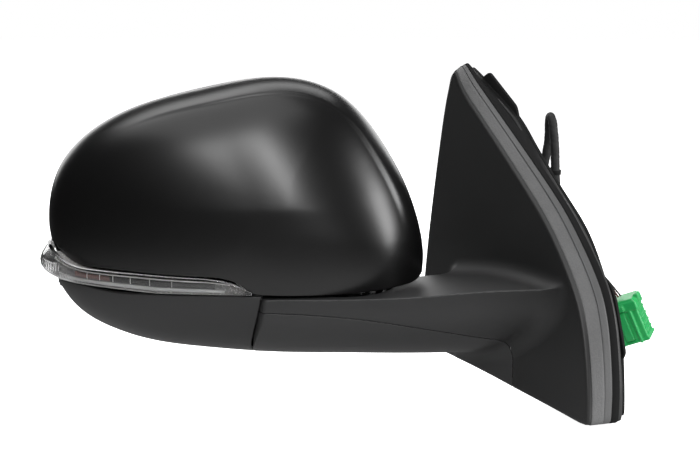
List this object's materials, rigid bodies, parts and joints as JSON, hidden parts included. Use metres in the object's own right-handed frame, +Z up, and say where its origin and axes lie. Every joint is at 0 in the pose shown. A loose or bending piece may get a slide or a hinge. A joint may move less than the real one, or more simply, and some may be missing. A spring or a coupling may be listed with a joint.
{
  "type": "car door mirror",
  "caption": "Right-hand door mirror: swept head with indicator lamp and powered convex glass, folding on an arm that grows out of a triangular sail foot.",
  "frame": {"origin": "centre of the circle through the three door bolts, on the foot's mounting face", "axes": "+X into the door, square to the mounting face; +Y to the rear of the car; +Z up"},
  "size_m": [0.3385, 0.3134, 0.2157],
  "materials": {
    "foot_moulding": "fine grained, satin",
    "arm_moulding": "satin moulded",
    "cast_alloy": "as cast",
    "zinc_steel": "zinc plated",
    "seal_rubber": "matt",
    "tape": "cloth tape over cable",
    "wire_sheath": "smooth sheath",
    "green_plug": "smooth moulded",
    "terminal": "tin on brass",
    "shaft_steel": "ground",
    "spring_steel": "oiled",
    "gear_plastic": "moulded acetal",
    "worm_brass": "machined",
    "frame_plastic": "glass filled",
    "cover_paint": "smooth satin black",
    "lower_moulding": "fine grain",
    "bezel_moulding": "fine grain",
    "lens_clear": "polished clear",
    "reflector": "silvered and dark",
    "light_guide": "clear",
    "board": "solder mask",
    "bush_bronze": "sintered",
    "motor_can": "plated",
    "acetal": "moulded",
    "holder_plastic": "moulded",
    "heater_film": "film",
    "mirror_face": "silvered convex"
  },
  "bodies": {
    "base": {"foot_cover": "foot_moulding", "arm_lower_cover": "arm_moulding", "base_bracket": "cast_alloy", "cover_screws": "zinc_steel", "door_gasket": "seal_rubber", "cable_grommet": "seal_rubber", "door_harness": "tape", "harness_wires": "wire_sheath", "harness_plug": "green_plug", "plug_terminals": "terminal", "cable_tie": "seal_rubber", "pivot_shaft": "shaft_steel", "detent_ring": "shaft_steel", "fold_gear": "gear_plastic", "clutch_spring": "spring_steel", "spring_washer": "spring_steel", "shaft_circlip": "spring_steel"},
    "head": {"head_frame": "frame_plastic", "front_cover": "cover_paint", "lower_cover": "lower_moulding", "rear_bezel": "bezel_moulding", "housing_floor": "lower_moulding", "lamp_lens": "lens_clear", "lamp_housing": "reflector", "lamp_light_guide": "light_guide", "lamp_board": "board", "fold_housing": "frame_plastic", "fold_cap": "frame_plastic", "pivot_bush": "bush_bronze", "fold_motor": "motor_can", "fold_screws": "zinc_steel", "actuator_base": "holder_plastic", "actuator_cover": "holder_plastic", "actuator_screws": "zinc_steel", "pan_motor": "motor_can", "tilt_motor": "motor_can", "head_harness": "tape"},
    "fold_worm": {"fold_worm": "worm_brass"},
    "gimbal": {"gimbal_ring": "acetal"},
    "glass": {"glass_holder": "holder_plastic", "heater_pad": "heater_film", "mirror_glass": "mirror_face"},
    "pan_jack": {"pan_jack": "acetal"},
    "tilt_jack": {"tilt_jack": "acetal"},
    "pan_nut": {"pan_nut": "acetal"},
    "tilt_nut": {"tilt_nut": "acetal"},
    "pan_worm": {"pan_worm": "acetal"},
    "tilt_worm": {"tilt_worm": "acetal"}
  },
  "joints": [
    {"name": "fold", "type": "hinge", "parent": "base", "child": "head", "pos_m": [-0.10789, 0.0377, 0.02], "axis": [0, 0, -1], "range_deg": [-45, 60]},
    {"name": "fold_worm_spin", "type": "hinge", "parent": "head", "child": "fold_worm", "pos_m": [-0.12491, 0.02976, 0.0275], "axis": [0.4226, -0.9063, 0], "range_deg": [-1925, 1445]},
    {"name": "glass_pan", "type": "hinge", "parent": "head", "child": "gimbal", "pos_m": [-0.14876, 0.1066, 0.074], "axis": [0, 0, 1], "range_deg": [-7, 7]},
    {"name": "glass_tilt", "type": "hinge", "parent": "gimbal", "child": "glass", "pos_m": [-0.14876, 0.1066, 0.074], "axis": [0.8192, -0.5736, 0], "range_deg": [-7, 7]},
    {"name": "pan_jack_slide", "type": "slide", "parent": "head", "child": "pan_jack", "axis": [0.5736, 0.8192, 0], "range_m": [-0.0031, 0.0031]},
    {"name": "tilt_jack_slide", "type": "slide", "parent": "head", "child": "tilt_jack", "axis": [0.5736, 0.8192, 0], "range_m": [-0.0031, 0.0031]},
    {"name": "pan_nut_spin", "type": "hinge", "parent": "head", "child": "pan_nut", "pos_m": [-0.13522, 0.08235, 0.074], "axis": [0.5736, 0.8192, 0], "range_deg": [-276, 276]},
    {"name": "tilt_nut_spin", "type": "hinge", "parent": "head", "child": "tilt_nut", "pos_m": [-0.1557, 0.09669, 0.049], "axis": [0.5736, 0.8192, 0], "range_deg": [-276, 276]},
    {"name": "pan_worm_spin", "type": "hinge", "parent": "head", "child": "pan_worm", "pos_m": [-0.14408, 0.08856, 0.074], "axis": [0, 0, 1], "range_deg": [-5780, 5780]},
    {"name": "tilt_worm_spin", "type": "hinge", "parent": "head", "child": "tilt_worm", "pos_m": [-0.1557, 0.09669, 0.05982], "axis": [0.8192, -0.5736, 0], "range_deg": [-5780, 5780]}
  ],
  "couplings": [
    {"joint": "fold_worm_spin", "follows": "fold", "ratio": -32},
    {"joint": "pan_jack_slide", "follows": "glass_pan", "m_per_rad": 0.025},
    {"joint": "tilt_jack_slide", "follows": "glass_tilt", "m_per_rad": 0.025},
    {"joint": "pan_nut_spin", "follows": "glass_pan", "ratio": 39.27},
    {"joint": "tilt_nut_spin", "follows": "glass_tilt", "ratio": 39.27},
    {"joint": "pan_worm_spin", "follows": "glass_pan", "ratio": -824.67},
    {"joint": "tilt_worm_spin", "follows": "glass_tilt", "ratio": -824.67}
  ]
}
